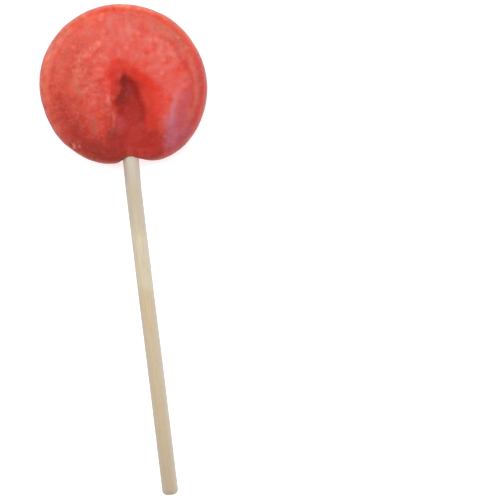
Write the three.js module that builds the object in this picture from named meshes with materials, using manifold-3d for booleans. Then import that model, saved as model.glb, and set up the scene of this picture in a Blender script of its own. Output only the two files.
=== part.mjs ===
// A round red boiled-sugar lollipop on a birch stick, lying on its back with the domed face
// up. Millimetres, +Z up. The stick runs along -Y from the candy, and its axis lies in the
// plane x = 0. The origin is on the surface under the candy, below that axis.
import * as THREE from "three";
import { mergeVertices } from "three/addons/utils/BufferGeometryUtils.js";
import Module from "manifold-3d";

// Candy outline, seen from the front: a slightly oval disc with a notch where the stick leaves.
// It set a little uneven, so some stretches of it stand out and some lie back.
const HEAD_RADIUS = 24.77;
const HEAD_CENTRE_X = 0.66;
const OVAL = 0.46;
const OVAL_LONG_AXIS_DEG = -34.4;
const NOTCH_DEPTH = 3.1;
const NOTCH_SPREAD_DEG = 14;
const NOTCH_AT_DEG = 269.4;
const BULGES = [
  { atDeg: 47, spreadDeg: 14, height: 0.22 },
  { atDeg: 189, spreadDeg: 5, height: -0.12 },
  { atDeg: 213, spreadDeg: 10, height: 0.28 },
  { atDeg: 246, spreadDeg: 6, height: -0.14 },
  { atDeg: 258.5, spreadDeg: 3.5, height: 0.34 },
  { atDeg: 268, spreadDeg: 5, height: -0.2 },
  { atDeg: 312, spreadDeg: 16, height: 0.22 },
];

// Candy section: a flat spot to rest on, a round edge, a soft ring and a domed face
const THICKNESS = 12.8;
const EDGE_WIDTH = 3.7;
const EDGE_HEIGHT = 4.7;
const EDGE_POWER = 2.2;
const FLAT_SPOT_RADIUS = 15;
const RING_RISE = 0.12;
const RING_WIDTH = 0.7;

// The hollow in the face, where the sugar sank along the stick: a tongue down to the notch. Its
// wall is steep at the left of the pit only, and gets easier to the right, above and below.
const HOLLOW_PATH = [
  { x: 0.9, y: 3.2, radius: 5.2 },
  { x: 3.6, y: -3.4, radius: 7.7 },
  { x: 3.4, y: -11, radius: 7.1 },
  { x: 1.6, y: -24, radius: 9.4 },
];
const HOLLOW_DEPTH = 1.5;
const HOLLOW_WALL_LEFT = 2.4;
const HOLLOW_WALL_RIGHT = 5.6;
const HOLLOW_WALL_TOP = 4.3;
const HOLLOW_WALL_LOW = 7;
const WALL_EASES_RIGHT = { from: -3, to: 4 };
const WALL_EASES_UP = { from: -3.5, to: 1 };
const WALL_EASES_DOWN = { from: 6, to: 13 };

// The deeper drop-shaped pit over the end of the stick. It runs out towards the notch, and its
// wall gets easier where the hollow's does.
const PIT_PATH = [
  { x: 1.1, y: 3.2, radius: 0.8 },
  { x: 1.7, y: 1, radius: 2.2 },
  { x: 2.4, y: -1.3, radius: 3.1 },
  { x: 2.1, y: -4.4, radius: 4 },
  { x: 2.3, y: -8.5, radius: 4.3 },
  { x: 2.5, y: -13, radius: 4 },
];
const PIT_DEPTH = 1.1;
const PIT_WALL = 2.7;
const PIT_WALL_LOW = 3.9;
const PIT_RUNS_OUT = { from: -20, to: -4 };

// The sags of the face: along the stick to the notch, and round the lower left, where it is thin
const CHANNEL_SAG = 0.95;
const CHANNEL_FROM = 1;
const CHANNEL_TO = 15;
const SIDE_SAG = 1.6;
const SIDE_SAG_AT_DEG = 243;
const SIDE_SAG_SPREAD_DEG = 58;
const SIDE_SAG_FROM = 11;
const SIDE_SAG_TO = 24;

// Birch dowel, 3/16 inch by 5 inches before it was tumbled, and the sugar that covers it
const STICK_RADIUS = 2.32;
const STICK_LENGTH = 127;
const STICK_INNER_END_Y = 4.3;
const STICK_HEIGHT = 5.8;
const STICK_END_ROUNDING = 1.6;
const SOCKET_GAP = 0.3;
const SUGAR_OVER_STICK = 0.8;

// How finely the curved faces are cut
const HEAD_SIDES = 96;
const EDGE_STEPS = 7;
const FACE_STEPS = 30;
const BACK_STEPS = 3;
const STICK_SIDES = 40;
const ROUNDING_STEPS = 4;

const MID_HEIGHT = THICKNESS / 2;
const RING_RADIUS = HEAD_RADIUS - EDGE_WIDTH;

const wasm = await Module();
wasm.setup();

// How many degrees an angle in radians lies off a direction, from -180 to 180.
function degreesOff(angle, direction) {
  return THREE.MathUtils.euclideanModulo(THREE.MathUtils.radToDeg(angle) - direction + 180, 360) - 180;
}

// A rounded bump of height 1 about zero.
function bump(value, width) {
  return Math.exp(-((value / width) ** 2));
}

// Radius of the outline at an angle from +X, in radians.
function outlineRadius(angle) {
  const oval = OVAL * Math.cos(2 * (angle - THREE.MathUtils.degToRad(OVAL_LONG_AXIS_DEG)));
  const notch = NOTCH_DEPTH * bump(degreesOff(angle, NOTCH_AT_DEG), NOTCH_SPREAD_DEG);
  let radius = HEAD_RADIUS + oval - notch;
  for (const { atDeg, spreadDeg, height } of BULGES) {
    radius += height * bump(degreesOff(angle, atDeg), spreadDeg);
  }
  return radius;
}

// How far a point lies inside the tongue swept by discs along a path. Negative outside.
function insideTongue(x, y, path) {
  let deepest = -Infinity;
  for (let i = 0; i + 1 < path.length; i++) {
    const [a, b] = [path[i], path[i + 1]];
    const run = new THREE.Vector2(b.x - a.x, b.y - a.y);
    const along = new THREE.Vector2(x - a.x, y - a.y).dot(run) / run.lengthSq();
    const t = THREE.MathUtils.clamp(along, 0, 1);
    const radius = THREE.MathUtils.lerp(a.radius, b.radius, t);
    deepest = Math.max(deepest, radius - Math.hypot(x - a.x - run.x * t, y - a.y - run.y * t));
  }
  return deepest;
}

// Width of the hollow's wall at a point.
function hollowWall(x, y) {
  const { smoothstep, lerp } = THREE.MathUtils;
  const right = smoothstep(x, WALL_EASES_RIGHT.from, WALL_EASES_RIGHT.to);
  const top = smoothstep(y, WALL_EASES_UP.from, WALL_EASES_UP.to);
  const low = smoothstep(-y, WALL_EASES_DOWN.from, WALL_EASES_DOWN.to);
  const wallToRight = lerp(HOLLOW_WALL_LEFT, HOLLOW_WALL_RIGHT, right);
  const wallToTop = lerp(HOLLOW_WALL_LEFT, HOLLOW_WALL_TOP, top);
  return lerp(Math.max(wallToRight, wallToTop), HOLLOW_WALL_LOW, low);
}

// How far the face has sunk below its dome at a point, `fromMiddle` mm from the candy's middle.
function sunkDepth(x, y, angle, fromMiddle) {
  const { smoothstep } = THREE.MathUtils;
  const inHollow = smoothstep(insideTongue(x, y, HOLLOW_PATH), 0, hollowWall(x, y));
  const low = smoothstep(-y, WALL_EASES_DOWN.from, WALL_EASES_DOWN.to);
  const pitWall = THREE.MathUtils.lerp(PIT_WALL, PIT_WALL_LOW, low);
  const inPit = smoothstep(insideTongue(x, y, PIT_PATH), 0, pitWall);
  const channel = CHANNEL_SAG * smoothstep(-y, CHANNEL_FROM, CHANNEL_TO);
  const pit = PIT_DEPTH * smoothstep(y, PIT_RUNS_OUT.from, PIT_RUNS_OUT.to);
  const round = bump(degreesOff(angle, SIDE_SAG_AT_DEG), SIDE_SAG_SPREAD_DEG);
  const side = SIDE_SAG * round * smoothstep(fromMiddle, SIDE_SAG_FROM, SIDE_SAG_TO);
  return Math.max(inHollow * (HOLLOW_DEPTH + channel), side) + inPit * pit;
}

// The lowest height of the face above the stick, so that the sugar always covers it.
function coverHeight(x) {
  const reach = STICK_RADIUS + SUGAR_OVER_STICK;
  return Math.abs(x) < reach ? STICK_HEIGHT + Math.sqrt(reach * reach - x * x) : 0;
}

// Half of the candy's section, from the middle of the back round the edge to the face's top.
function headProfile() {
  const points = [new THREE.Vector2(0, 0)];
  for (let i = 0; i <= BACK_STEPS; i++) {
    const t = i / BACK_STEPS;
    const radius = THREE.MathUtils.lerp(FLAT_SPOT_RADIUS, RING_RADIUS, t);
    points.push(new THREE.Vector2(radius, (MID_HEIGHT - EDGE_HEIGHT) * t * t));
  }
  for (let i = 1; i < 2 * EDGE_STEPS; i++) {
    const angle = (Math.PI / 2) * (i / EDGE_STEPS - 1);
    const out = Math.cos(angle) ** (2 / EDGE_POWER);
    const up = Math.sign(angle) * Math.abs(Math.sin(angle)) ** (2 / EDGE_POWER);
    points.push(new THREE.Vector2(RING_RADIUS + EDGE_WIDTH * out, MID_HEIGHT + EDGE_HEIGHT * up));
  }
  for (let i = FACE_STEPS; i >= 0; i--) {
    const share = i / FACE_STEPS;
    const dome = THICKNESS - (MID_HEIGHT - EDGE_HEIGHT) * share * share;
    const ring = RING_RISE * bump((1 - share) * RING_RADIUS, RING_WIDTH);
    points.push(new THREE.Vector2(RING_RADIUS * share, dome + ring));
  }
  return points;
}

// The turned candy, pulled to its outline and with its face sunk.
function headGeometry() {
  const geometry = new THREE.LatheGeometry(headProfile(), HEAD_SIDES);
  geometry.rotateX(Math.PI / 2);
  const position = geometry.getAttribute("position");
  for (let i = 0; i < position.count; i++) {
    const angle = Math.atan2(position.getY(i), position.getX(i));
    const fromMiddle = Math.hypot(position.getX(i), position.getY(i));
    const stretch = outlineRadius(angle) / HEAD_RADIUS;
    const x = position.getX(i) * stretch + HEAD_CENTRE_X;
    const y = position.getY(i) * stretch;
    const z = position.getZ(i);
    const share = THREE.MathUtils.clamp((z - MID_HEIGHT) / EDGE_HEIGHT, 0, 1);
    const room = Math.max(z - coverHeight(x), 0);
    position.setXYZ(i, x, y, z - Math.min(share * sunkDepth(x, y, angle, fromMiddle), room));
  }
  return geometry;
}

// A dowel along -Y from its inner end, its radius and both ends grown by the same gap.
function dowelGeometry(gap) {
  const rounding = STICK_END_ROUNDING;
  const radius = STICK_RADIUS + gap;
  const points = [new THREE.Vector2(0, -gap)];
  for (let i = 0; i <= ROUNDING_STEPS; i++) {
    const angle = ((Math.PI / 2) * i) / ROUNDING_STEPS;
    const inset = rounding * (1 - Math.sin(angle));
    points.push(new THREE.Vector2(radius - inset, rounding * (1 - Math.cos(angle)) - gap));
  }
  const farEnd = points.map((p) => new THREE.Vector2(p.x, STICK_LENGTH - p.y)).reverse();
  const geometry = new THREE.LatheGeometry([...points, ...farEnd], STICK_SIDES);
  geometry.rotateX(Math.PI);
  return geometry;
}

// A closed three.js geometry as a solid that booleans can cut.
function solidFrom(geometry) {
  const bare = geometry.clone();
  bare.deleteAttribute("normal");
  bare.deleteAttribute("uv");
  const merged = mergeVertices(bare, 1e-4);
  return new wasm.Manifold(
    new wasm.Mesh({
      numProp: 3,
      vertProperties: merged.getAttribute("position").array,
      triVerts: new Uint32Array(merged.getIndex().array),
    }),
  );
}

// A solid back as a three.js geometry.
function geometryFrom(solid) {
  const mesh = solid.getMesh();
  const geometry = new THREE.BufferGeometry();
  geometry.setAttribute("position", new THREE.BufferAttribute(mesh.vertProperties, 3));
  geometry.setIndex(new THREE.BufferAttribute(mesh.triVerts, 1));
  geometry.computeVertexNormals();
  return geometry;
}

// The candy with the blind socket that the stick sits in.
function candyHead() {
  const socket = dowelGeometry(SOCKET_GAP).translate(0, STICK_INNER_END_Y, STICK_HEIGHT);
  const cut = solidFrom(headGeometry()).subtract(solidFrom(socket));
  const candy = new THREE.Mesh(
    geometryFrom(cut),
    new THREE.MeshStandardMaterial({ color: 0xd84335, roughness: 0.3, metalness: 0 }),
  );
  candy.name = "candy_head";
  return candy;
}

function stick() {
  const dowel = new THREE.Mesh(
    dowelGeometry(0),
    new THREE.MeshStandardMaterial({ color: 0xd3c09e, roughness: 0.7, metalness: 0 }),
  );
  dowel.name = "stick";
  dowel.position.set(0, STICK_INNER_END_Y, STICK_HEIGHT);
  return dowel;
}

const lollipop = new THREE.Group();
lollipop.add(candyHead(), stick());

export default lollipop;
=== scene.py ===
import math

import bpy
import numpy as np
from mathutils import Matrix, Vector, noise


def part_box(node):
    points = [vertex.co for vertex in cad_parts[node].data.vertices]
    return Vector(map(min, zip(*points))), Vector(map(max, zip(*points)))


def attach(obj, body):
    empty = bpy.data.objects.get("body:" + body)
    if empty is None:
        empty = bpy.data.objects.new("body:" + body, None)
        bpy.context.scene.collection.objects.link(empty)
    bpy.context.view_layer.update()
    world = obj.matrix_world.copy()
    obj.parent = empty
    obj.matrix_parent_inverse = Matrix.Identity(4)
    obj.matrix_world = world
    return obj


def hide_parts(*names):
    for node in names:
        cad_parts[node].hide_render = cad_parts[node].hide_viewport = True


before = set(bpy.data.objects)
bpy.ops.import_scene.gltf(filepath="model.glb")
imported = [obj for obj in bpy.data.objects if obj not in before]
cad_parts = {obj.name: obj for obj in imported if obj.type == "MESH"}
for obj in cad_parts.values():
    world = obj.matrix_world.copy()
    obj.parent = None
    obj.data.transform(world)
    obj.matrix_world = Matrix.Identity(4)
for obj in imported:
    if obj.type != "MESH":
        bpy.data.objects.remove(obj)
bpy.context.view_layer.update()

# The candy is one piece of red boiled sugar, poured runny into a round cake about the stick.
# It set with a round edge, a soft ring inside it and a gently domed face. Over the stick it
# sank into a hollow that runs out at the notch, with a deeper, darker pit in the middle.
MM = 0.001
head_low, head_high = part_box("candy_head")
HEAD_CENTRE_X = (head_low.x + head_high.x) / 2 / MM
HEAD_THICKNESS = 12.55
HEAD_RADIUS = 24.75
OVAL = 0.46
OVAL_LONG_AXIS_DEG = -34.4
NOTCH_DEPTH = 3.1
NOTCH_SPREAD_DEG = 14.0
NOTCH_AT_DEG = 269.4
BULGES = [
    (47, 14, 0.22),
    (155, 14, 0.06),
    (189, 5, -0.12),
    (213, 10, 0.28),
    (246, 6, -0.14),
    (258.5, 3.5, 0.34),
    (268.0, 5, -0.2),
    (312, 16, 0.22),
]
EDGE_WIDTH = 3.7
EDGE_HEIGHT = 4.7
EDGE_POWER = 2.2
FLAT_SPOT_RADIUS = 15.0
MID_HEIGHT = HEAD_THICKNESS / 2
FACE_RADIUS = HEAD_RADIUS - EDGE_WIDTH
CUTS_OF_A_CUBE_SIDE = (27, 3)

# The soft ring inside the edge shows most on the right. The face sags along the stick, and
# round the lower left, where the candy is thin.
RING_AT = 22.0
RING_WIDTH = 0.7
RING_RISE = 0.10
RING_FAINT = 0.25
RING_STRONG_AT_DEG = 20
RING_STRONG_SPREAD_DEG = 45
CHANNEL_SAG = 0.95
CHANNEL_RUN = (1, 15)
SIDE_SAG = 1.6
SIDE_SAG_AT_DEG = 243
SIDE_SAG_SPREAD_DEG = 58
SIDE_SAG_RUN = (11, 24)

# The hollow in the face and the pit in it, each swept by a row of discs (x, y, radius) in mm.
# The hollow's wall is steep at the left and gets easier to the right, above and below.
HOLLOW = [(0.9, 3.2, 5.2), (3.6, -3.4, 7.7), (3.4, -11, 7.1), (1.6, -24, 9.4)]
HOLLOW_DEPTH = 1.5
HOLLOW_WALL_LEFT, HOLLOW_WALL_RIGHT, HOLLOW_WALL_LOW = 2.4, 5.6, 7.0
WALL_SPREADS_RIGHT = (-3, 4)
WALL_SPREADS_ABOVE = (-3.5, 1)
WALL_SPREADS_BELOW = (6, 13)
SPREAD_ABOVE = 0.6
PIT = [
    (1.1, 3.2, 0.8),
    (1.7, 1.0, 2.2),
    (2.4, -1.3, 3.1),
    (2.1, -4.4, 4.0),
    (2.3, -8.5, 4.3),
    (2.5, -13, 4.0),
]
PIT_WALL, PIT_WALL_LOW = 2.8, 3.9
PIT_DEPTH = 1.05
PIT_RUNS_OUT = (-20, -4)

# Small dents and beads beside the pit: discs in mm, then depth or rise, and how far it reaches
DENTS = [
    ([(-0.8, -3.9, 0.5), (-1.3, -5.0, 0.5)], 0.25, 1.3),
    ([(5.3, -4.5, 0.1), (5.7, -8.5, 0.3), (5.4, -12.6, 0.3)], 0.12, 1.1),
    ([(-3.8, -13.2, 0.8), (-3.6, -15.0, 0.8)], 0.18, 2.0),
]
BEADS = [
    ([(-3.5, -3.5, 0.2), (-4.1, -4.9, 0.2)], 0.08, 0.9),
    ([(-2.9, -7.5, 0.1), (-2.4, -8.8, 0.3), (-3.0, -10.1, 0.2), (-3.2, -11.8, 0.2)], 0.15, 0.7),
    ([(-3.0, 1.2, 0.1), (-3.4, -1.8, 0.1)], 0.15, 0.6),
]

# The sugar covers the stick's top by this much
SUGAR_OVER_STICK = 0.51
stick_low, stick_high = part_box("stick")
STICK_RADIUS = (stick_high.x - stick_low.x) / 2 / MM
STICK_HEIGHT = (stick_high.z + stick_low.z) / 2 / MM


def sections_of_candy():
    """Radius and height, in mm, from the middle of the face round the edge to that of the back."""
    steps = 200
    face = np.linspace(0, 1, steps)[:-1]
    turn = np.linspace(math.pi / 2, -math.pi / 2, steps)
    back = np.linspace(1, 0, steps)[1:]
    out = np.abs(np.cos(turn)) ** (2 / EDGE_POWER)
    up = np.sign(turn) * np.abs(np.sin(turn)) ** (2 / EDGE_POWER)
    dome = (MID_HEIGHT - EDGE_HEIGHT) * face**2
    off_flat = np.clip(back * FACE_RADIUS - FLAT_SPOT_RADIUS, 0, None) / (FACE_RADIUS - FLAT_SPOT_RADIUS)
    radius = np.concatenate([FACE_RADIUS * face, FACE_RADIUS + EDGE_WIDTH * out, FACE_RADIUS * back])
    back_rise = (MID_HEIGHT - EDGE_HEIGHT) * off_flat**2
    return radius, np.concatenate([HEAD_THICKNESS - dome, MID_HEIGHT + EDGE_HEIGHT * up, back_rise])


def inside(x, y, discs):
    """How far points lie inside the shape swept by discs (x, y, radius) in a row. Negative outside."""
    deepest = np.full(x.shape, -np.inf)
    for (ax, ay, ar), (bx, by, br) in zip(discs, discs[1:]):
        along = ((x - ax) * (bx - ax) + (y - ay) * (by - ay)) / ((bx - ax) ** 2 + (by - ay) ** 2)
        t = np.clip(along, 0, 1)
        gap = np.hypot(x - ax - (bx - ax) * t, y - ay - (by - ay) * t)
        deepest = np.maximum(deepest, ar + (br - ar) * t - gap)
    return deepest


def inside_any(x, y, discs):
    """How far points lie inside the nearest of several separate discs. Negative outside."""
    return np.max([radius - np.hypot(x - at_x, y - at_y) for at_x, at_y, radius in discs], axis=0)


def ease(value, start, end):
    """Goes smoothly from 0 at start to 1 at end."""
    t = np.clip((value - start) / (end - start), 0, 1)
    return t * t * (3 - 2 * t)


def bump(value, at, width):
    """A rounded bump of height 1 about a value."""
    return np.exp(-(((value - at) / width) ** 2))


def degrees_off(angle_deg, direction_deg):
    """The angle between two directions, from -180 to 180 degrees."""
    return (angle_deg - direction_deg + 180) % 360 - 180


bpy.ops.object.select_all(action="DESELECT")
bpy.ops.mesh.primitive_cube_add(size=2)
candy = bpy.context.object
candy.name = "candy"
bpy.ops.object.mode_set(mode="EDIT")
bpy.ops.mesh.select_all(action="SELECT")
for cuts in CUTS_OF_A_CUBE_SIDE:
    bpy.ops.mesh.subdivide(number_cuts=cuts)
bpy.ops.transform.tosphere(value=1)
bpy.ops.object.mode_set(mode="OBJECT")

ball = np.empty(len(candy.data.vertices) * 3)
candy.data.vertices.foreach_get("co", ball)
ball = ball.reshape(-1, 3)
ball /= np.linalg.norm(ball, axis=1, keepdims=True)
angle = np.arctan2(ball[:, 1], ball[:, 0])
angle_deg = np.degrees(angle)
way_round = np.arccos(np.clip(ball[:, 2], -1, 1)) / math.pi

section_radius, section_height = sections_of_candy()
steps_out = np.diff(section_radius, prepend=0)
steps_up = np.diff(section_height, prepend=HEAD_THICKNESS)
steps_walked = np.hypot(steps_out, steps_up)
walked = np.cumsum(steps_walked) / steps_walked.sum()
turned_radius = np.interp(way_round, walked, section_radius)
turned_height = np.interp(way_round, walked, section_height)
outline = (
    HEAD_RADIUS
    + OVAL * np.cos(2 * (angle - math.radians(OVAL_LONG_AXIS_DEG)))
    - NOTCH_DEPTH * bump(degrees_off(angle_deg, NOTCH_AT_DEG), 0, NOTCH_SPREAD_DEG)
)
for at_deg, spread_deg, height in BULGES:
    outline += height * bump(degrees_off(angle_deg, at_deg), 0, spread_deg)
x = HEAD_CENTRE_X + turned_radius * outline / HEAD_RADIUS * np.cos(angle)
y = turned_radius * outline / HEAD_RADIUS * np.sin(angle)
on_face = np.clip((turned_height - MID_HEIGHT) / EDGE_HEIGHT, 0, 1)

spread = np.maximum(ease(x, *WALL_SPREADS_RIGHT), SPREAD_ABOVE * ease(y, *WALL_SPREADS_ABOVE))
wall = HOLLOW_WALL_LEFT + (HOLLOW_WALL_RIGHT - HOLLOW_WALL_LEFT) * spread
wall = wall + (HOLLOW_WALL_LOW - wall) * ease(-y, *WALL_SPREADS_BELOW)
in_hollow = ease(inside(x, y, HOLLOW), 0, wall)
side = bump(degrees_off(angle_deg, SIDE_SAG_AT_DEG), 0, SIDE_SAG_SPREAD_DEG)
side_sag = SIDE_SAG * side * ease(turned_radius, *SIDE_SAG_RUN)
sunk = np.maximum(in_hollow * (HOLLOW_DEPTH + CHANNEL_SAG * ease(-y, *CHANNEL_RUN)), side_sag)
pit_wall = PIT_WALL + (PIT_WALL_LOW - PIT_WALL) * ease(-y, *WALL_SPREADS_BELOW)
sunk += PIT_DEPTH * ease(inside(x, y, PIT), 0, pit_wall) * ease(y, *PIT_RUNS_OUT)
for discs, depth, reach in DENTS:
    sunk += depth * ease(inside(x, y, discs), -reach, reach / 2)
for discs, rise, reach in BEADS:
    sunk -= rise * ease(inside(x, y, discs), -reach, reach / 2)
strong = bump(degrees_off(angle_deg, RING_STRONG_AT_DEG), 0, RING_STRONG_SPREAD_DEG)
sunk -= RING_RISE * (RING_FAINT + (1 - RING_FAINT) * strong) * bump(turned_radius, RING_AT, RING_WIDTH)
cover_reach = STICK_RADIUS + SUGAR_OVER_STICK
over_axis = np.sqrt(np.clip(cover_reach**2 - x**2, 0, None))
cover = np.where(np.abs(x) < cover_reach, STICK_HEIGHT + over_axis, 0)
height = turned_height - np.minimum(on_face * sunk, np.clip(turned_height - cover, 0, None))
candy.data.vertices.foreach_set("co", (np.stack([x, y, height], axis=1) * MM).astype(np.float32).ravel())
candy.data.update()
candy.data.shade_smooth()


def roughen(piece, name, lump, depth, share):
    """Works lumps of a size and depth in mm into a piece's surface, by each point's share."""
    clouds = bpy.data.textures.new(name, "CLOUDS")
    clouds.noise_scale = lump * MM
    clouds.noise_depth = 1
    bpy.ops.object.select_all(action="DESELECT")
    bpy.context.view_layer.objects.active = piece
    bpy.ops.object.modifier_add(type="DISPLACE")
    displace = piece.modifiers[-1]
    displace.texture = clouds
    displace.texture_coords = "LOCAL"
    displace.strength = depth * MM
    group = piece.vertex_groups.new(name=name)
    for vertex in np.flatnonzero(share > 0.01):
        group.add([int(vertex)], float(share[vertex]), "REPLACE")
    displace.vertex_group = name
    bpy.ops.object.modifier_apply(modifier=displace.name)


# The surface is lumpy all over but for the spot that it rests on, less so in the pit, and
# pebbled at the upper left of the face
PEBBLED = [(-7.5, 12.5, 2.2), (-10, 7, 4.5), (-9, 1, 4.5)]
SMOOTHER_IN_PIT = 0.7
REST_HEIGHTS = (0.2, 2.5)
above_rest = ease(turned_height, *REST_HEIGHTS)
above_rest *= 1 - SMOOTHER_IN_PIT * ease(inside(x, y, PIT), -1.5, 1)
pebbled = on_face * ease(inside(x, y, PEBBLED), -2.5, 2)
roughen(candy, "slow_lumps", 5.5, 0.20, above_rest)
roughen(candy, "middling_lumps", 2.6, 0.06, above_rest)
roughen(candy, "small_lumps", 1.2, 0.022, above_rest)
roughen(candy, "pebbles", 1.0, 0.035, pebbled)

# Nicks and chips round the edge: angle in degrees, then radius, reach and depth in mm. A nick
# starts a little outside its reach and has its full depth well inside it.
NICK_STARTS, NICK_IS_DEEP = 1.6, 0.4
NICKS = [
    (163.5, 24.1, 0.45, 0.30),
    (176.5, 23.9, 0.40, 0.25),
    (157, 23.4, 0.35, 0.20),
    (189, 23.6, 0.4, 0.22),
    (223, 23.1, 0.8, 0.30),
    (226, 22.3, 0.55, 0.25),
    (214, 23.6, 0.4, 0.20),
    (139, 23.7, 0.4, 0.18),
    (62, 23.9, 0.4, 0.15),
    (312, 23.8, 0.5, 0.18),
]
places = np.empty(len(candy.data.vertices) * 3)
normals = np.empty(len(candy.data.vertices) * 3)
candy.data.vertices.foreach_get("co", places)
candy.data.vertices.foreach_get("normal", normals)
places, normals = places.reshape(-1, 3), normals.reshape(-1, 3)
for at_deg, at_radius, reach, depth in NICKS:
    nick_x = HEAD_CENTRE_X + at_radius * math.cos(math.radians(at_deg))
    nick_y = at_radius * math.sin(math.radians(at_deg))
    off = np.hypot(places[:, 0] / MM - nick_x, places[:, 1] / MM - nick_y)
    cut = depth * ease(off, reach * NICK_STARTS, reach * NICK_IS_DEEP) * (turned_height > MID_HEIGHT)
    places -= normals * cut[:, None] * MM
candy.data.vertices.foreach_set("co", places.astype(np.float32).ravel())
candy.data.update()


def arc(radius, start_deg, end_deg, half_width):
    """A row of discs along an arc about the candy's middle."""
    turns = np.radians(np.linspace(start_deg, end_deg, 9))
    return [(HEAD_CENTRE_X + radius * math.cos(a), radius * math.sin(a), half_width) for a in turns]


# The borders between clear and cloudy sugar wander, by lumps and shifts in mm, the softer ones
# more than the sharp ones. The seed keeps that the same in every run.
WANDERS = [(5.5, 0.8), (2.2, 0.35)]
WANDERS_IF_SOFTER = (1.5, 3.0)
WANDER_SEED = 1
noise.seed_set(WANDER_SEED)
drift = np.zeros((len(x), 2))
for lump, shift in WANDERS:
    ways = [noise.noise_vector(Vector((px, py, 0)) / lump)[:2] for px, py in zip(x, y)]
    drift += shift * np.array(ways)

# Colours over the face, where the sugar is clear or cloudy and where light and shade are painted on it:
# name, colour, share, softness and discs in mm
PALE_STREAK = [(-5.3, 13.1, 0.9), (-6.9, 12.2, 0.9), (-8.4, 11.1, 0.7), (-9.3, 10.4, 0.4)]
PALE_HOOK = [(-13.4, 3.2, 1.2), (-13.2, 1.4, 0.9), (-12.6, 0.1, 1.0), (-11.6, -0.5, 0.7)]
WARM_LEFT = [
    (-9.6, 13.4, 0.7),
    (-11.4, 12.0, 0.7),
    (-13.6, 9.5, 0.9),
    (-15.2, 6.6, 0.8),
    (-16.4, 2.6, 0.7),
]
PALE_RIGHT = [(13.6, 11.4, 0.8), (13.2, 9.6, 0.8), (12.4, 8.4, 0.7)]
ARCH = [
    (-3.4, -0.8, 0.9),
    (-3.2, 3.6, 1.7),
    (-0.7, 5.7, 2.1),
    (2.5, 4.5, 2.1),
    (5.5, 1.9, 2.7),
    (8.3, -2.7, 3.7),
    (8.8, -6.0, 3.5),
    (8.4, -8.4, 2.9),
    (7.9, -11.8, 2.2),
]
ARCH_GLOW_LEFT = [(-3.6, 4.4, 0.6), (-1.6, 6.3, 0.8), (-0.7, 7.7, 0.3)]
ARCH_GLOW_RIGHT = [
    (5.5, 3.5, 0.4),
    (6.8, 2.2, 0.8),
    (9.5, -0.8, 1.0),
    (10.5, -4.0, 1.3),
    (10.3, -7.5, 0.7),
]
PIT_TONE = [
    (1.35, 2.7, 0.8),
    (1.4, 0.8, 2.3),
    (3.2, -0.9, 2.35),
    (2.2, -3.2, 3.7),
    (2.0, -5.5, 4.3),
    (2.4, -8.6, 4.2),
]
DARK_TIP = [(1.3, 3.2, 0.4), (1.3, 1.6, 1.2)]
PIT_SHADE = [(1.6, 0.6, 1.3), (3.0, -1.2, 1.6), (0.4, -4.0, 1.4)]
CHANNEL = [(-1.1, -9.2, 0.5), (-0.2, -11.5, 2.4), (0.8, -14.2, 3.6)]
RING_RIGHT = [
    (13.8, 16.2, 0.4),
    (16.0, 14.7, 0.4),
    (18.3, 12.4, 0.8),
    (19.8, 10.0, 0.6),
    (21.2, 7.0, 0.4),
    (22.0, 4.2, 0.4),
    (22.8, 1.2, 0.4),
    (23.0, -2.1, 0.3),
    (22.5, -5.1, 0.4),
    (21.4, -8.2, 0.4),
    (19.8, -10.5, 0.7),
    (17.8, -12.8, 0.9),
]
RING_TROUGH = [
    (17.7, 10.2, 0.3),
    (18.3, 8.0, 0.5),
    (18.9, 5.6, 0.4),
    (20.4, 2.8, 0.4),
    (21.1, 0.4, 0.7),
    (21.3, -2.4, 0.7),
    (20.9, -5.7, 0.7),
    (20.0, -8.8, 0.6),
]
RING_TOP = arc(20.8, 48, 62, 0.5) + arc(20.2, 70, 96, 0.5)
RED_BAND = arc(23.4, -38, 18, 0.2) + arc(23.0, 26, 58, 0.5) + arc(22.2, 66, 98, 0.6)
CRESCENT = arc(20.6, 216, 262, 2.4)
VIOLET_SIDE = [(19.6, -4.5, 0.8), (17.4, -9.5, 1.9), (15.4, -14, 3.0), (13.6, -19, 3.0)]
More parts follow.
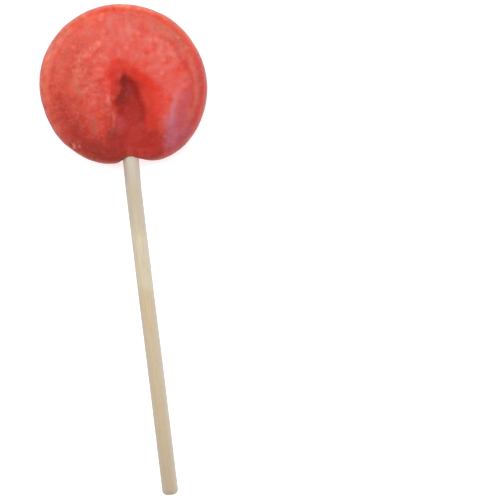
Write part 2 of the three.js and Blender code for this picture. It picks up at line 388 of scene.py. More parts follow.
ZONES = [
    # The left half of the face, with pale pink patches that are partly painted sheen, and painted shade
    # at the lower left, where it slopes away from the light
    ("left_face", "#C63418", 0.58, 6.0, [(-13, 8, 4), (-10.5, -3, 5), (-9, -11, 4)]),
    ("low_left_face", "#A05C56", 0.54, 3.4, [(-10.0, -8.4, 0.8), (-9.4, -11.0, 1.2), (-9.4, -13.2, 0.9)]),
    ("left_pink", "#CC706A", 0.2, 3.2, [(-11.2, -0.8, 0.8), (-11.5, -3.0, 0.7), (-10.4, -7.4, 0.7)]),
    ("upper_left_pink", "#D8847A", 0.22, 3.6, [(-10.6, 17.6, 1.2), (-7.2, 16.2, 1.4), (-5.0, 16.0, 0.8)]),
    ("top_pink", "#E48E84", 0.13, 4.0, [(0.8, 17.8, 1.2), (6.2, 15.6, 2.2), (2.0, 13.4, 1.0)]),
    (
        "warm_side",
        "#D24806",
        0.26,
        5.0,
        [(-4, 18.4, 2.6), (-12, 14.5, 3.5), (-16, 6, 5), (-17, -2.5, 4.5)],
    ),
    ("mid_left_face", "#E48074", 0.4, 2.6, [(-9.0, -4.0, 0.6), (-8.6, -3.0, 0.4)]),
    ("low_left_pale", "#CC6A58", 0.4, 2.4, [(-13.6, -5.2, 0.6), (-14.2, -4.4, 0.4)]),
    ("low_left_red", "#B42810", 0.5, 2.6, [(-14.3, -2.8, 0.6), (-16.0, -3.6, 0.4)]),
    ("above_crescent", "#9A2416", 0.6, 4.0, [(-4.6, -14.6, 1.0), (-7.5, -15.4, 1.6), (-9.0, -16.0, 1.6)]),
    ("far_left", "#8C1C0C", 0.62, 6.0, arc(18.8, 187, 220, 2.0)),
    ("left_shade", "#86200E", 0.52, 2.6, [(-20.6, -8.6, 0.5), (-19.0, -7.6, 0.7), (-17.4, -8.8, 0.6)]),
    (
        "left_low_light",
        "#CC5A48",
        0.42,
        2.6,
        [(-15.6, -10.4, 0.5), (-17.2, -12.8, 0.7), (-16.2, -14.8, 0.7)],
    ),
    (
        "left_low_shade",
        "#84201A",
        0.35,
        3.0,
        [(-13.6, -13.2, 0.6), (-11.8, -16.2, 0.9), (-9.4, -17.0, 0.7)],
    ),
    # The rim and the bands inside it, with light and shade painted round them: brighter at the top,
    # painted sheen and glints on the left, painted shade at the lower left and along the outer edge, and
    # at the right a painted highlight along the ring with painted shade in the trough inside it
    ("left_band", "#B42C10", 0.6, 2.0, arc(21.3, 154, 200, 0.5)),
    ("mauve_band", "#AC5A42", 0.4, 2.0, arc(19.6, 128, 172, 0.5)),
    ("left_rim", "#CE6850", 0.75, 2.0, arc(23.2, 108, 184, 0.7)),
    ("low_left_rim", "#A64638", 0.6, 2.4, arc(23.0, 190, 224, 0.9)),
    ("lower_left_rim", "#70160C", 0.7, 2.0, arc(23.6, 222, 242, 0.7)),
    ("left_blotch", "#C87864", 0.45, 1.6, [(-20.4, -9.4, 0.3), (-19.8, -11.0, 0.4)]),
    ("rim_spots", "#F2A080", 0.45, 1.6, [(-19.8, 12.8, 0.4), (-20.5, 10.6, 0.4)]),
    ("top_rim", "#E04A2A", 0.85, 2.8, arc(22.6, 90, 124, 1.2)),
    ("top_red", "#DA3010", 0.55, 1.6, arc(22.6, 82, 96, 0.8)),
    ("left_edge", "#984438", 0.5, 1.2, arc(24.1, 174, 216, 0.2)),
    ("top_right_rim", "#DA5434", 0.8, 2.4, arc(23.6, 14, 90, 0.8)),
    ("right_rim", "#BC4044", 0.8, 2.4, arc(23.6, -42, 16, 0.9)),
    ("low_right_rim", "#AE383E", 0.65, 3.0, arc(23.2, -52, -26, 1.0)),
    ("red_band", "#CE3A20", 0.5, 1.8, RED_BAND),
    ("top_edge", "#985448", 0.7, 1.2, arc(24.45, 34, 150, 0.3)),
    ("top_pale", "#EE8C74", 0.45, 1.2, arc(23.7, 64, 88, 0.2)),
    ("tan_band", "#B46444", 0.4, 3.0, arc(19.4, 40, 60, 0.8)),
    ("ring_trough", "#A6180E", 0.5, 2.0, RING_TROUGH),
    ("ring_line", "#A06A50", 0.46, 1.8, RING_RIGHT),
    ("ring_top", "#C86A4C", 0.4, 2.4, RING_TOP),
    # Pale and red patches of the face: the pale ones partly cloudy sugar and partly painted sheen, the
    # dusky ones painted shade
    ("pale_streak", "#EC7454", 0.5, 1.6, PALE_STREAK),
    ("pale_bar", "#D4705A", 0.3, 1.4, [(-10.4, 10.0, 0.5), (-11.3, 9.4, 0.5)]),
    ("pale_patch", "#EC8468", 0.4, 1.8, [(-11.9, 6.8, 0.6), (-12.4, 4.8, 0.9)]),
    ("pale_hook", "#C4765A", 0.45, 1.6, PALE_HOOK),
    ("warm_left", "#BA2E10", 0.5, 2.6, WARM_LEFT),
    ("far_left_dusk", "#A02C18", 0.3, 3.0, [(-15.8, 4.4, 0.7), (-17.0, 2.0, 1.4), (-19.2, 1.6, 1.2)]),
    (
        "left_dusk",
        "#94301C",
        0.32,
        3.0,
        [(-13.4, -1.0, 0.6), (-13.8, -4.4, 1.0), (-13.4, -7.8, 1.0), (-12.8, -9.8, 0.6)],
    ),
    ("light_flecks", "#E88470", 0.4, 1.4, [(-5.5, 4.1, 0.5), (-5.4, 3.6, 0.3)]),
    ("pale_under_streak", "#E67457", 0.3, 2.0, [(-5.3, 9.5, 0.5), (-4.0, 9.1, 0.5)]),
    ("pale_right", "#D8867A", 0.5, 1.8, PALE_RIGHT),
    ("pale_right_spots", "#DC8272", 0.45, 1.6, [(15.9, 9.3, 0.5), (16.0, 7.8, 0.5), (16.6, 6.9, 0.4)]),
    ("pale_right_low", "#DC8272", 0.45, 1.8, [(13.2, 7.6, 0.7), (15.0, 7.7, 0.6)]),
    ("pale_right_side", "#DC8078", 0.35, 2.0, [(17.0, 4.4, 0.8), (13.4, 3.0, 0.5)]),
    ("red_by_arch", "#D8240C", 0.6, 2.4, [(12.0, -2.6, 0.9), (11.0, -4.6, 0.8)]),
    ("red_by_ring", "#D43A2C", 0.5, 2.4, [(14.6, -0.8, 0.8), (16.4, -0.1, 0.6)]),
    ("right_dusk", "#B03C40", 0.3, 2.4, [(18.0, 0.2, 0.5), (19.4, -1.0, 0.6)]),
    ("pale_high_right", "#D87C6C", 0.45, 2.4, [(10.0, 13.4, 0.7), (9.2, 12.6, 0.5)]),
    ("red_right", "#B8341E", 0.35, 1.8, [(13.6, 13.4, 0.5), (15.6, 11.4, 0.5), (17.6, 9.8, 0.4)]),
    ("pale_top", "#CE8478", 0.5, 2.4, [(-0.7, 19.6, 0.5), (-0.9, 17.6, 0.2)]),
    ("pale_top_right", "#CC846E", 0.5, 2.4, [(4.2, 17.6, 0.5), (4.8, 15.6, 0.3)]),
    # The clear red arch round the hollow, with a painted glow where light comes through the sugar and
    # painted shade down its right side
    ("arch", "#CE301E", 0.9, 2.4, ARCH),
    ("arch_glow_left", "#E43C2A", 0.75, 2.8, ARCH_GLOW_LEFT),
    ("arch_top", "#E4483A", 0.75, 2.4, [(-0.4, 6.3, 0.7), (1.4, 6.2, 0.8), (2.8, 5.6, 0.4)]),
    ("arch_glow_right", "#DA2C12", 0.7, 2.4, ARCH_GLOW_RIGHT),
    ("arch_low", "#B02408", 0.5, 2.6, [(7.4, -8.5, 0.8), (9.0, -11.4, 1.1), (10.5, -12.2, 0.7)]),
    ("arch_dusk", "#B43824", 0.36, 2.4, [(7.6, -2.6, 0.5), (8.2, -5.0, 0.7), (8.8, -7.6, 0.6)]),
    # Painted shade below, on both sides of the notch, where the face slopes down away from the light, and
    # along the pit's left lip
    ("lower_middle", "#A41E14", 0.9, 4.5, [(-3, -18.5, 4.5), (2.5, -16.5, 4.5), (7.5, -17.8, 4.5)]),
    ("crescent", "#9E2C20", 0.85, 4.5, CRESCENT),
    ("crescent_core", "#842020", 0.55, 4.0, arc(20.0, 240, 255, 1.3)),
    ("crescent_rim", "#7E1A12", 0.5, 2.6, arc(21.8, 228, 247, 1.0)),
    ("lobe_edge", "#7E2220", 0.35, 2.4, arc(22.6, 234, 257, 0.8)),
    ("right_lobe_edge", "#7E1418", 0.5, 2.4, arc(23.1, 281, 300, 0.8)),
    ("left_lip", "#8C1810", 0.7, 2.2, [(-3.7, -6.4, 0.2), (-3.8, -8.6, 0.3), (-3.0, -12.0, 0.6)]),
    (
        "lip_side",
        "#AC2A1C",
        0.6,
        3.2,
        [(-5.2, 1.0, 0.5), (-5.4, -2.2, 0.9), (-4.8, -6.0, 0.8), (-5.0, -9.6, 1.2)],
    ),
    ("lip_shade", "#7C1C14", 0.45, 2.8, [(-5.3, -10.8, 0.6), (-4.7, -12.6, 0.8), (-5.0, -15.0, 0.7)]),
    # The violet side at the lower right: a painted reflection of the cool window, laid over the real one
    ("violet_side", "#A84A54", 0.72, 4.0, VIOLET_SIDE),
    ("violet_top", "#C46C7E", 0.4, 2.4, [(17.4, -2.8, 0.5), (16.8, -5, 0.5), (15.2, -7.2, 0.6)]),
    ("violet_streak", "#C08C9C", 0.44, 2.8, [(15.9, -5.2, 0.3), (15.0, -8.2, 0.7), (13.6, -12.4, 1.0)]),
    ("violet_left", "#B44E66", 0.5, 2.0, [(12.9, -9.6, 0.3), (12.5, -11.6, 0.4)]),
    ("crimson_side", "#C24A52", 0.5, 2.6, [(19.6, -4.5, 0.4), (18.6, -6.8, 0.8), (17.4, -9.0, 0.6)]),
    ("violet_foot", "#A8627E", 0.46, 3.8, [(13.4, -13.8, 1.5), (13.2, -16.8, 1.8), (12.2, -18.6, 1.1)]),
    ("violet_rim", "#A85C66", 0.5, 2.6, [(19.2, -14.4, 0.6), (16.4, -17.4, 0.9)]),
    # The pit, its walls and its lip. The pit is darkened with painted shade, deepest at its tip and left
    # lobe and along its right edge, with a painted shadow below the lip; a soft painted reflection lies
    # in its lower channel, and painted highlights mark the glints on the lip and a line of reflection on
    # the left wall
    ("left_slope", "#CE3020", 0.85, 1.8, [(-2.0, 3.9, 0.8), (-2.4, 1.0, 0.9), (-2.8, -1.6, 0.8)]),
    ("arch_spot", "#E05C4E", 0.5, 1.6, [(-2.4, 4.0, 0.4)]),
    (
        "pit_wall",
        "#C41E08",
        0.85,
        1.9,
        [(-0.5, 3.3, 0.5), (-1.0, 1.4, 0.5), (-1.1, -0.8, 0.4), (-1.9, -2.2, 0.4)],
    ),
    (
        "pit_wall_low",
        "#B81C14",
        0.6,
        1.6,
        [(-2.6, -4.4, 0.3), (-3.2, -6.4, 0.3), (-2.4, -9.4, 0.3), (-2.0, -12.2, 0.4)],
    ),
    ("pit_floor", "#9E1A0E", 0.95, 2.2, PIT_TONE),
    ("pit_shade", "#82120A", 0.75, 4.0, PIT_SHADE),
    ("pit_tip", "#741206", 0.8, 2.0, DARK_TIP),
    ("pit_deep", "#620C04", 0.4, 2.2, [(0.8, -0.2, 0.6), (1.5, -2.2, 0.6)]),
    ("pit_wedge", "#D0341A", 0.42, 1.4, [(-0.9, 0.6, 0.3), (-1.0, -0.9, 0.5), (-1.5, -1.9, 0.2)]),
    ("channel", "#B02E24", 0.7, 3.2, CHANNEL),
    ("channel_plum", "#BA5460", 0.46, 2.8, [(-1.0, -9.4, 0.6), (-0.4, -11.2, 0.8)]),
    ("pit_lobe", "#7A1810", 0.7, 2.2, [(-1.1, -3.2, 0.4), (-1.2, -4.8, 0.6)]),
    ("pit_line", "#7E1A1C", 0.22, 2.2, [(5.7, -5.5, 0.3), (5.9, -9.0, 0.4)]),
    ("pit_line_low", "#84282C", 0.42, 2.4, [(5.9, -9.4, 0.5), (5.6, -11.4, 0.8), (4.9, -13.0, 0.8)]),
    ("left_shadow", "#640A08", 0.55, 3.0, [(-3.3, -13.3, 1.0), (-3.5, -15.0, 0.7)]),
    ("lip_glint", "#E09084", 0.46, 1.5, [(-3.9, -2.8, 0.25), (-4.3, -4.1, 0.4), (-3.6, -5.0, 0.2)]),
    (
        "lip_line",
        "#CC6A66",
        0.5,
        1.2,
        [(-3.3, -7.6, 0.1), (-2.8, -8.8, 0.3), (-3.4, -10.1, 0.15), (-3.5, -11.8, 0.1)],
    ),
    ("wall_line", "#E4463A", 0.42, 1.6, [(-2.6, 2.0, 0.2), (-3.4, -1.8, 0.3)]),
    # Chips at the lower left
    ("chip", "#E89C8C", 0.6, 1.0, [(-16.2, -15.6, 0.2), (-16.0, -16.4, 0.35)]),
    ("small_chip", "#DC9080", 0.5, 0.9, [(-14.4, -16.3, 0.25), (-14.2, -16.6, 0.2)]),
]

# Separate blots and flecks: pale where bubbles crowd, red where the sugar is clear, and dark blots of
# painted shade in the nicks at the rim, at the pit's tip and along the notch
PALE_BLOTS = [
    (-18.6, 12.3, 0.7),
    (-20.0, 13.2, 0.6),
    (-12.6, 13.0, 0.4),
    (-9.4, 10.0, 0.5),
    (-8.0, 10.0, 0.3),
    (-11.2, 8.6, 0.5),
    (-11.0, 4.2, 0.5),
    (-11.0, 6.0, 0.4),
    (-6.4, 11.8, 0.4),
    (13.5, 6.2, 0.6),
    (12.1, 12.1, 0.6),
    (10.4, 12.3, 0.4),
    (15.2, 10.7, 0.5),
    (-10.3, 5.5, 0.6),
    (-3.6, 20.5, 0.7),
    (-3.1, 16.6, 0.5),
    (-3.0, 8.3, 0.4),
    (7.0, 15.0, 0.5),
    (5.0, 13.3, 0.4),
    (-4.8, 13.2, 0.5),
    (3.0, 11.0, 0.4),
    (20.8, 9.0, 0.4),
    (18.7, 12.2, 0.4),
    (15.2, 18.1, 0.4),
    (12.6, 2.2, 0.4),
]
RED_BLOTS = [
    (-9.6, 12.4, 0.8),
    (-3.5, 11.4, 0.6),
    (-5.6, 9.0, 0.5),
    (-7.4, 5.2, 0.7),
    (-14.6, 4.1, 0.9),
    (-13.6, 9.2, 0.6),
    (-14.8, 7.3, 0.4),
    (-16.2, 3.3, 0.5),
    (-6.6, 0.8, 0.8),
    (-6.4, -0.9, 0.6),
    (-8.0, 1.2, 0.4),
    (-4.1, -7.0, 0.4),
    (8.0, 11.6, 0.6),
    (8.8, 8.5, 0.6),
    (11.0, 5.5, 0.6),
    (-7.0, 5.0, 0.9),
    (-11.0, -5.0, 0.5),
    (-13.7, 16.2, 0.4),
    (20.8, 1.2, 0.8),
    (21.0, 11.2, 0.7),
    (3.0, 17.0, 0.6),
    (18.6, -0.9, 0.5),
]
BLOTS = [
    ("pale_blots", "#EC9C8A", 0.32, 1.6, PALE_BLOTS),
    ("red_blots", "#BE2814", 0.38, 1.8, RED_BLOTS),
    (
        "bright_blots",
        "#F01C10",
        0.6,
        2.0,
        [(-4.9, 0.2, 0.6), (-4.8, -1.5, 0.7), (-5.3, -2.9, 0.6), (-7.0, 5.1, 0.9)],
    ),
    ("top_red_blots", "#D81400", 0.72, 1.5, [(0.7, 22.6, 0.8), (-6.0, 22.2, 0.6), (3.0, 22.1, 0.4)]),
    (
        "top_pale_blots",
        "#F09880",
        0.45,
        1.3,
        [(8.0, 22.1, 0.4), (5.0, 23.0, 0.4), (-3.0, 21.6, 0.3), (-8.6, 22.0, 0.2)],
    ),
    (
        "dark_nicks",
        "#7E2418",
        0.5,
        1.0,
        [(-22.2, 9.3, 0.2), (-22.7, 6.2, 0.3), (-22.2, 5.9, 0.1), (-15.1, -16.4, 0.2)],
    ),
    (
        "dark_blots",
        "#86180F",
        0.4,
        1.8,
        [
            (1.3, 4.3, 0.4),
            (4.6, 3.1, 0.3),
            (6.5, -0.9, 0.6),
            (2.6, -14.6, 0.7),
            (4.0, 3.0, 0.3),
            (0.2, -21, 0.7),
            (2.4, -21, 0.6),
            (4.5, -21, 0.6),
        ],
    ),
    (
        "pink_nicks",
        "#F2807C",
        0.5,
        1.0,
        [(-23.1, 5.4, 0.3), (-19.2, 14.4, 0.2), (-16.1, 16.8, 0.2), (-17.3, 15.6, 0.3)],
    ),
]
# These tones fade out down the side, as the back is plain
TONES_SHOW_ABOVE = (1.5, 6.5)
upper_half = ease(turned_height, *TONES_SHOW_ABOVE)
patches = [(zone, inside) for zone in ZONES] + [(blot, inside_any) for blot in BLOTS]
for (name, _, share, softness, discs), depth_inside in patches:
    loose = ease(softness, *WANDERS_IF_SOFTER)
    shifted_x, shifted_y = x + drift[:, 0] * loose, y + drift[:, 1] * loose
    depth = depth_inside(shifted_x, shifted_y, discs)
    reach = upper_half * share * ease(depth, -softness / 2, softness / 2)
    layer = candy.data.attributes.new(name, "FLOAT", "POINT")
    layer.data.foreach_set("value", reach.astype(np.float32))

# The rounded edge is mottled with fine bubbles, the hollow and the crescent at the lower left
# stayed clearer than the rest, the right side is smooth, and the sugar in the pit has grained
SMOOTH_RIGHT = [(12, 10, 4), (17, 1, 4), (17, -12, 5)]
RIGHT_SIDE_SMOOTHNESS = 0.6
MOTTLED_EDGE = (21.0, 22.6)
MOTTLED_AT_DEG, MOTTLED_SPREAD_DEG = 128, 68
# The outer side wall is painted darker, as shade, all round but for its top, where the light falls on it
SIDE_WALL = (23.7, 24.7)
LIGHT_WALL_AT_DEG, LIGHT_WALL_SPREAD_DEG = 70, 75
clear = np.maximum(ease(inside(x, y, HOLLOW), -0.5, 1.5), ease(inside(x, y, CRESCENT), -1, 1.5))
clear = np.maximum(clear, RIGHT_SIDE_SMOOTHNESS * ease(inside(x, y, SMOOTH_RIGHT), -2, 2))
mottled_edge = ease(turned_radius, *MOTTLED_EDGE)
mottled_edge *= bump(degrees_off(angle_deg, MOTTLED_AT_DEG), 0, MOTTLED_SPREAD_DEG)
light_wall = bump(degrees_off(angle_deg, LIGHT_WALL_AT_DEG), 0, LIGHT_WALL_SPREAD_DEG)
side_wall_shade = ease(turned_radius, *SIDE_WALL) * (1 - light_wall)
grained = ease(inside(x, y, PIT), -1.0, 1.0)
finishes_and_shade = {
    "clear": clear,
    "mottled_edge": mottled_edge,
    "pebbled": pebbled,
    "side_wall_shade": side_wall_shade,
    "grained": grained,
}
for name, share in finishes_and_shade.items():
    layer = candy.data.attributes.new(name, "FLOAT", "POINT")
    layer.data.foreach_set("value", (upper_half * share).astype(np.float32))


def linear(hex_colour):
    """An sRGB colour such as #D84335 as the linear RGBA that a shader reads."""
    srgb = [int(hex_colour[i : i + 2], 16) / 255 for i in (1, 3, 5)]
    return [c / 12.92 if c <= 0.04045 else ((c + 0.055) / 1.055) ** 2.4 for c in srgb] + [1]


def put(tree, kind, sockets=None, **settings):
    """Adds a shader node with its settings, each socket given as a value or as another node's output."""
    node = tree.nodes.new("ShaderNode" + kind)
    for name, value in settings.items():
        setattr(node, name, value)
    for socket, value in (sockets or {}).items():
        if isinstance(value, bpy.types.NodeSocket):
            tree.links.new(value, node.inputs[socket])
        else:
            node.inputs[socket].default_value = value
    return node


# Boiled sugar, poured and set, then rubbed by other sweets: clear red with cloudy pink patches of fine
# bubbles, semi-gloss, matt in the pit where it has grained, and soft at its edges where light soaks in.
# Its colour also carries painted light: painted shade in the pit, at the lower part and round the edge,
# painted sheen in some pale patches, and a painted reflection at the violet side.
sugar = bpy.data.materials.new("boiled_sugar_poured")
sugar.use_nodes = True
tree = sugar.node_tree
shader = tree.nodes["Principled BSDF"]
shader.inputs["IOR"].default_value = 1.5
shader.inputs["Specular IOR Level"].default_value = 0.22
shader.inputs["Subsurface Weight"].default_value = 0.25
shader.inputs["Subsurface Radius"].default_value = (1.0, 0.25, 0.15)
shader.inputs["Subsurface Scale"].default_value = 0.0012

# A Mix node has sockets of the same name for each kind of value. These are the ones for colour.
COLOUR_A, COLOUR_B, COLOUR_OUT = 6, 7, 2
place = put(tree, "TexCoord").outputs["Object"]


def grains(size_mm, low, high, detail=1.0):
    """Noise with lumps of that size, spread so that it goes from 0 at low to 1 at high."""
    cloud = put(tree, "TexNoise", {"Vector": place, "Scale": 1 / (size_mm * MM), "Detail": detail})
    spread_out = put(tree, "MapRange", {"Value": cloud.outputs["Fac"], "From Min": low, "From Max": high})
    return spread_out.outputs[0]


def tinted(colour, tint, *shares):
    """The colour mixed towards a tint by the product of some shares."""
    product = shares[0]
    for share in shares[1:]:
        product = put(tree, "Math", {0: product, 1: share}, operation="MULTIPLY").outputs[0]
    sockets = {"Factor": product, COLOUR_A: colour, COLOUR_B: linear(tint)}
    return put(tree, "Mix", sockets, data_type="RGBA").outputs[COLOUR_OUT]


def mottled(colour, mottling, *where):
    """The colour with layers of mottling over it, each as strong as its own share and where it is."""
    for size_mm, low, high, share, tint in mottling:
        colour = tinted(colour, tint, grains(size_mm, low, high), *where, share)
    return colour


# Bubbles and clear spots: lump size in mm, where the noise starts and ends, share and colour
BUBBLES = [(3.2, 0.30, 0.75, 0.46, "#DE7C74"), (1.2, 0.35, 0.80, 0.11, "#E08C80")]
EDGE_MOTTLING = [(2.0, 0.38, 0.68, 0.26, "#F09474"), (1.6, 0.45, 0.74, 0.34, "#A44028")]
PEBBLE_MOTTLING = [(1.6, 0.44, 0.70, 0.20, "#EA9484"), (1.3, 0.48, 0.68, 0.26, "#A02818")]
FACE_MOTTLING = [
    (2.4, 0.42, 0.68, 0.14, "#8A1C12"),
    (1.8, 0.46, 0.70, 0.13, "#D4586E"),
    (1.5, 0.46, 0.70, 0.13, "#D8703E"),
    (1.0, 0.48, 0.74, 0.15, "#8E2418"),
    (0.9, 0.50, 0.80, 0.07, "#F0B0A0"),
]
painted = {name: put(tree, "Attribute", attribute_name=name).outputs["Fac"] for name in finishes_and_shade}
colour = mottled(linear("#D53417"), BUBBLES)
for name, tint, *_ in ZONES + BLOTS:
    colour = tinted(colour, tint, put(tree, "Attribute", attribute_name=name).outputs["Fac"])
# Painted shade on the outer side wall
colour = tinted(colour, "#94382C", painted["side_wall_shade"], 0.75)
colour = mottled(colour, EDGE_MOTTLING, painted["mottled_edge"])
colour = mottled(colour, PEBBLE_MOTTLING, painted["pebbled"])
cloudy = put(tree, "MapRange", {"Value": painted["clear"], "To Min": 1.0, "To Max": 0.4}).outputs[0]
colour = mottled(colour, FACE_MOTTLING, cloudy)
tree.links.new(colour, shader.inputs["Base Color"])
roughness = put(tree, "MapRange", {"Value": painted["grained"], "To Min": 0.40, "To Max": 0.62})
tree.links.new(roughness.outputs[0], shader.inputs["Roughness"])
fine_grain = grains(0.5, 0.2, 0.8, detail=4.0)
scuffs = put(tree, "Bump", {"Height": fine_grain, "Strength": 0.22, "Distance": 0.05 * MM})
tree.links.new(scuffs.outputs["Normal"], shader.inputs["Normal"])
candy.data.materials.clear()
candy.data.materials.append(sugar)
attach(candy, "root")
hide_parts("candy_head")

# The stick is a dowel of white birch, 3/16 inch thick, cut to length and tumbled till its ends
# are round. It was pushed into the sugar while that was soft, and the sugar set round it.
STICK_SIDES = 72
STICK_RINGS = 260
END_ROUNDING = 1.6
END_STEPS = 7
STICK_LENGTH = (stick_high.y - stick_low.y) / MM
STICK_END_Y = stick_low.y / MM
LEAN_BY_CANDY, CANDY_LEAN_FROM_TO = 0.26, (-32, -21)
LEAN_BY_END, END_LEAN_FROM_TO = 0.10, (-60, -90)
THICKENING, THICKENING_LENGTH = 0.03, 17
RAISED_GRAIN = 0.06
GRAIN_RELIEF = 0.018
GRAIN_WIDTH, GRAIN_LENGTH = 0.55, 9.0

bpy.ops.object.select_all(action="DESELECT")
bpy.ops.mesh.primitive_cylinder_add(
    vertices=STICK_SIDES,
    radius=STICK_RADIUS * MM,
    depth=STICK_LENGTH * MM,
    end_fill_type="TRIFAN",
    location=(0, (STICK_END_Y + STICK_LENGTH / 2) * MM, STICK_HEIGHT * MM),
    rotation=(math.pi / 2, 0, 0),
)
dowel = bpy.context.object
dowel.name = "birch_stick"
bpy.ops.object.transform_apply(location=True, rotation=True, scale=True)


def select_edges(piece, wanted):
    """Selects the edges of a piece for which wanted(end_a, end_b) is true, and opens it for editing."""
    bpy.ops.object.mode_set(mode="EDIT")
    bpy.ops.mesh.select_mode(type="EDGE")
    bpy.ops.mesh.select_all(action="DESELECT")
    bpy.ops.object.mode_set(mode="OBJECT")
    points = piece.data.vertices
    for edge in piece.data.edges:
        edge.select = bool(wanted(*(points[i].co for i in edge.vertices)))
    bpy.ops.object.mode_set(mode="EDIT")


# The rims of both ends are rounded, and the sides are cut into rings for the bend and the grain
rim = (STICK_RADIUS - 0.01) * MM
axis_height = STICK_HEIGHT * MM
select_edges(
    dowel, lambda a, b: a.y == b.y and min(math.hypot(p.x, p.z - axis_height) for p in (a, b)) > rim
)
bpy.ops.mesh.bevel(offset=END_ROUNDING * MM, segments=END_STEPS, affect="EDGES")
select_edges(dowel, lambda a, b: abs(a.y - b.y) > STICK_LENGTH * MM / 2)
bpy.ops.mesh.subdivide(number_cuts=STICK_RINGS)
bpy.ops.object.mode_set(mode="OBJECT")
for vertex in dowel.data.vertices:
    px, py, pz = vertex.co / MM
    around = math.atan2(pz - STICK_HEIGHT, px)
    across_x = math.cos(around) * STICK_RADIUS / GRAIN_WIDTH
    across_z = math.sin(around) * STICK_RADIUS / GRAIN_WIDTH
    grain = noise.noise((across_x, across_z, py / GRAIN_LENGTH))
    thicker = THICKENING * noise.noise((0, 0, py / THICKENING_LENGTH))
    swell = 1 + (RAISED_GRAIN + thicker + GRAIN_RELIEF * grain) / STICK_RADIUS
    lean = LEAN_BY_CANDY * ease(py, *CANDY_LEAN_FROM_TO) + LEAN_BY_END * ease(py, *END_LEAN_FROM_TO)
    vertex.co = Vector((px * swell + lean, py, STICK_HEIGHT + (pz - STICK_HEIGHT) * swell)) * MM
dowel.data.shade_smooth()

# White birch, sanded but not varnished: cream and tan stretches that run into each other along the grain,
# fine brown flecks, grey near the candy, and darker where the ends show open grain. Painted shade greys
# it low on its sides and darkens its left, most in the candy's shadow, and painted light makes its right
# side paler.
birch = bpy.data.materials.new("white_birch_sanded")
birch.use_nodes = True
tree = birch.node_tree
shader = tree.nodes["Principled BSDF"]
shader.inputs["Roughness"].default_value = 0.62
shader.inputs["IOR"].default_value = 1.45
shader.inputs["Specular IOR Level"].default_value = 0.3
place = put(tree, "TexCoord").outputs["Object"]

# Its tone along its length: place in mm and colour
TONES = [
    (-121, "#B6A489"),
    (-112, "#BCA88B"),
    (-100, "#C1AE8F"),
    (-84, "#C5B295"),
    (-72, "#C7B393"),
    (-64, "#C9B392"),
    (-61.2, "#CDBB9A"),
    (-59.8, "#D0C2A6"),
    (-46, "#D0C3A7"),
    (-41.5, "#C5B69E"),
    (-31, "#C0B39C"),
    (-22, "#C8BCAA"),
]


def along_grain(width_mm, length_mm, detail=2.0):
    """Noise drawn out along the stick."""
    across, along = 1 / (width_mm * MM), 1 / (length_mm * MM)
    stretched = put(tree, "Mapping", {"Vector": place, "Scale": (across, along, across)}).outputs[0]
    return put(tree, "TexNoise", {"Vector": stretched, "Scale": 1.0, "Detail": detail}).outputs["Fac"]


# The stretches meet at a slant, and their borders wander
SLANT = 0.35
BORDER_WANDER = 1.5 * MM
wander = {"Value": along_grain(1.2, 5), "To Min": -BORDER_WANDER, "To Max": BORDER_WANDER}
across_stick, along_stick, up_stick = put(tree, "SeparateXYZ", {"Vector": place}).outputs
slanted = put(tree, "Math", {0: across_stick, 1: SLANT, 2: along_stick}, operation="MULTIPLY_ADD")
wandering = put(tree, "MapRange", wander)
moved = put(tree, "Math", {0: slanted.outputs[0], 1: wandering.outputs[0]}, operation="ADD")
along_stick = moved.outputs[0]
first_tone_at, last_tone_at = TONES[0][0], TONES[-1][0]
run = {"Value": along_stick, "From Min": first_tone_at * MM, "From Max": last_tone_at * MM}
tones = put(tree, "ValToRGB", {"Fac": put(tree, "MapRange", run).outputs[0]})
stops = tones.color_ramp.elements
for index, (at_mm, tone) in enumerate(TONES):
    share_along = (at_mm - first_tone_at) / (last_tone_at - first_tone_at)
    # A new ramp comes with two stops
    stop = stops[index] if index < 2 else stops.new(share_along)
    stop.position = share_along
    stop.color = linear(tone)

# What lies over the tones: what each follows, where it starts and where it is full. It is tanned in
# streaks and flecked; painted shade greys it low on its sides and darkens its left, more in the candy's
# shadow, and painted light makes its right paler.
STREAKS = (along_grain(0.22, 7, 3.0), 0.42, 0.72)
FLECKS = (along_grain(0.16, 1.6, 1.0), 0.68, 0.76)
SHADE_LOW_ON_SIDES = (up_stick, (STICK_HEIGHT + 2.2) * MM, (STICK_HEIGHT + 0.9) * MM)
SHADE_ON_LEFT = (across_stick, -0.4 * MM, -2.2 * MM)
LIGHT_ON_RIGHT = (across_stick, 0.4 * MM, 2.2 * MM)
IN_CANDY_SHADOW = (along_stick, -31 * MM, -27 * MM)
WOOD_TINTS_AND_SHADE = [
    ("#A58E6C", [STREAKS], 0.35),
    ("#8E7350", [FLECKS], 0.45),
    ("#C4BDB9", [SHADE_LOW_ON_SIDES], 0.5),
    ("#8C7C72", [SHADE_ON_LEFT], 0.22),
    ("#8C8078", [SHADE_ON_LEFT, IN_CANDY_SHADOW], 0.35),
    ("#DED2BC", [LIGHT_ON_RIGHT], 0.22),
]
colour = tones.outputs["Color"]
for tint, places_on_stick, share in WOOD_TINTS_AND_SHADE:
    reaches = [
        put(tree, "MapRange", {"Value": follows, "From Min": start, "From Max": full}).outputs[0]
        for follows, start, full in places_on_stick
    ]
    colour = tinted(colour, tint, *reaches, share)
tree.links.new(colour, shader.inputs["Base Color"])
fibres = put(tree, "Bump", {"Height": along_grain(0.18, 5, 4.0), "Strength": 0.4, "Distance": 0.06 * MM})
tree.links.new(fibres.outputs["Normal"], shader.inputs["Normal"])
dowel.data.materials.clear()
dowel.data.materials.append(birch)
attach(dowel, "root")
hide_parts("stick")

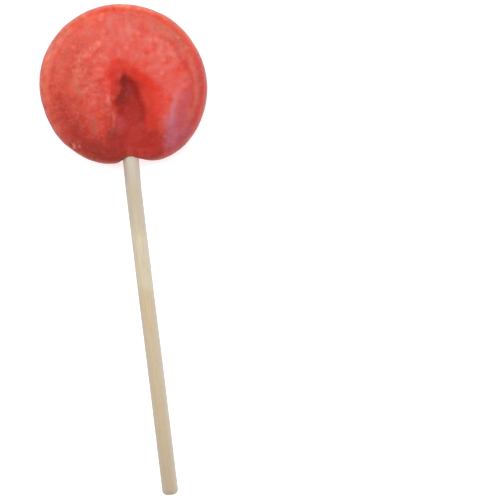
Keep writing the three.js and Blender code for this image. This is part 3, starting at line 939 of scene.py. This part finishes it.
# The floor is a sheet of white paper, lit a little from below as for photographs of small goods.
# A large soft light hangs overhead and a cool window stands at the right, so that the candy has
# no hard shadow. The camera looks straight down, turned a little to the right.
bpy.ops.object.select_all(action="DESELECT")
bpy.ops.mesh.primitive_plane_add(size=6, location=(0, 0, -0.02 * MM))
floor = bpy.context.object
floor.name = "floor"
paper = bpy.data.materials.new("floor_white")
paper.use_nodes = True
shader = paper.node_tree.nodes["Principled BSDF"]
shader.inputs["Base Color"].default_value = (0.9, 0.9, 0.9, 1)
shader.inputs["Roughness"].default_value = 0.9
shader.inputs["Specular IOR Level"].default_value = 0.0
shader.inputs["Emission Color"].default_value = (1, 1, 1, 1)
shader.inputs["Emission Strength"].default_value = 0.5
floor.data.materials.append(paper)

scene = bpy.context.scene
scene.view_settings.view_transform = "Standard"
world = bpy.data.worlds.new("pale_room")
scene.world = world
world.use_nodes = True
background = world.node_tree.nodes["Background"]
background.inputs["Color"].default_value = (1, 1, 1, 1)
background.inputs["Strength"].default_value = 0.55


def softbox(name, at, aim, width, length, radiance, colour):
    """A rectangle of soft light that faces its aim. Its power follows from its radiance."""
    lamp = bpy.data.lights.new(name, "AREA")
    lamp.shape = "RECTANGLE"
    lamp.size, lamp.size_y = width, length
    lamp.energy = radiance * math.pi * width * length
    lamp.color = colour
    holder = bpy.data.objects.new(name, lamp)
    scene.collection.objects.link(holder)
    holder.location = at
    holder.rotation_euler = (Vector(aim) - Vector(at)).to_track_quat("-Z", "Y").to_euler()


softbox("overhead", (-0.25, 0.9, 1.5), (-0.25, 0.9, 0), 1.9, 1.6, 3.0, (1, 1, 1))
softbox("cool_window", (0.85, -0.62, 1.5), (0.02, 0, 0), 0.8, 0.8, 1.5, (0.55, 0.72, 1.0))

CAMERA_TURN = math.radians(6.86)
VIEW_CENTRE = Vector((0.0323, -0.0530, 0.0065))
VIEW_WIDTH = 0.149
CAMERA_DISTANCE = 1.2
lens = bpy.data.cameras.new("camera")
lens.lens = lens.sensor_width * CAMERA_DISTANCE / VIEW_WIDTH
camera = bpy.data.objects.new("camera", lens)
scene.collection.objects.link(camera)
camera.location = VIEW_CENTRE + Vector((0, 0, CAMERA_DISTANCE))
camera.rotation_euler = (0, 0, -CAMERA_TURN)
scene.camera = camera
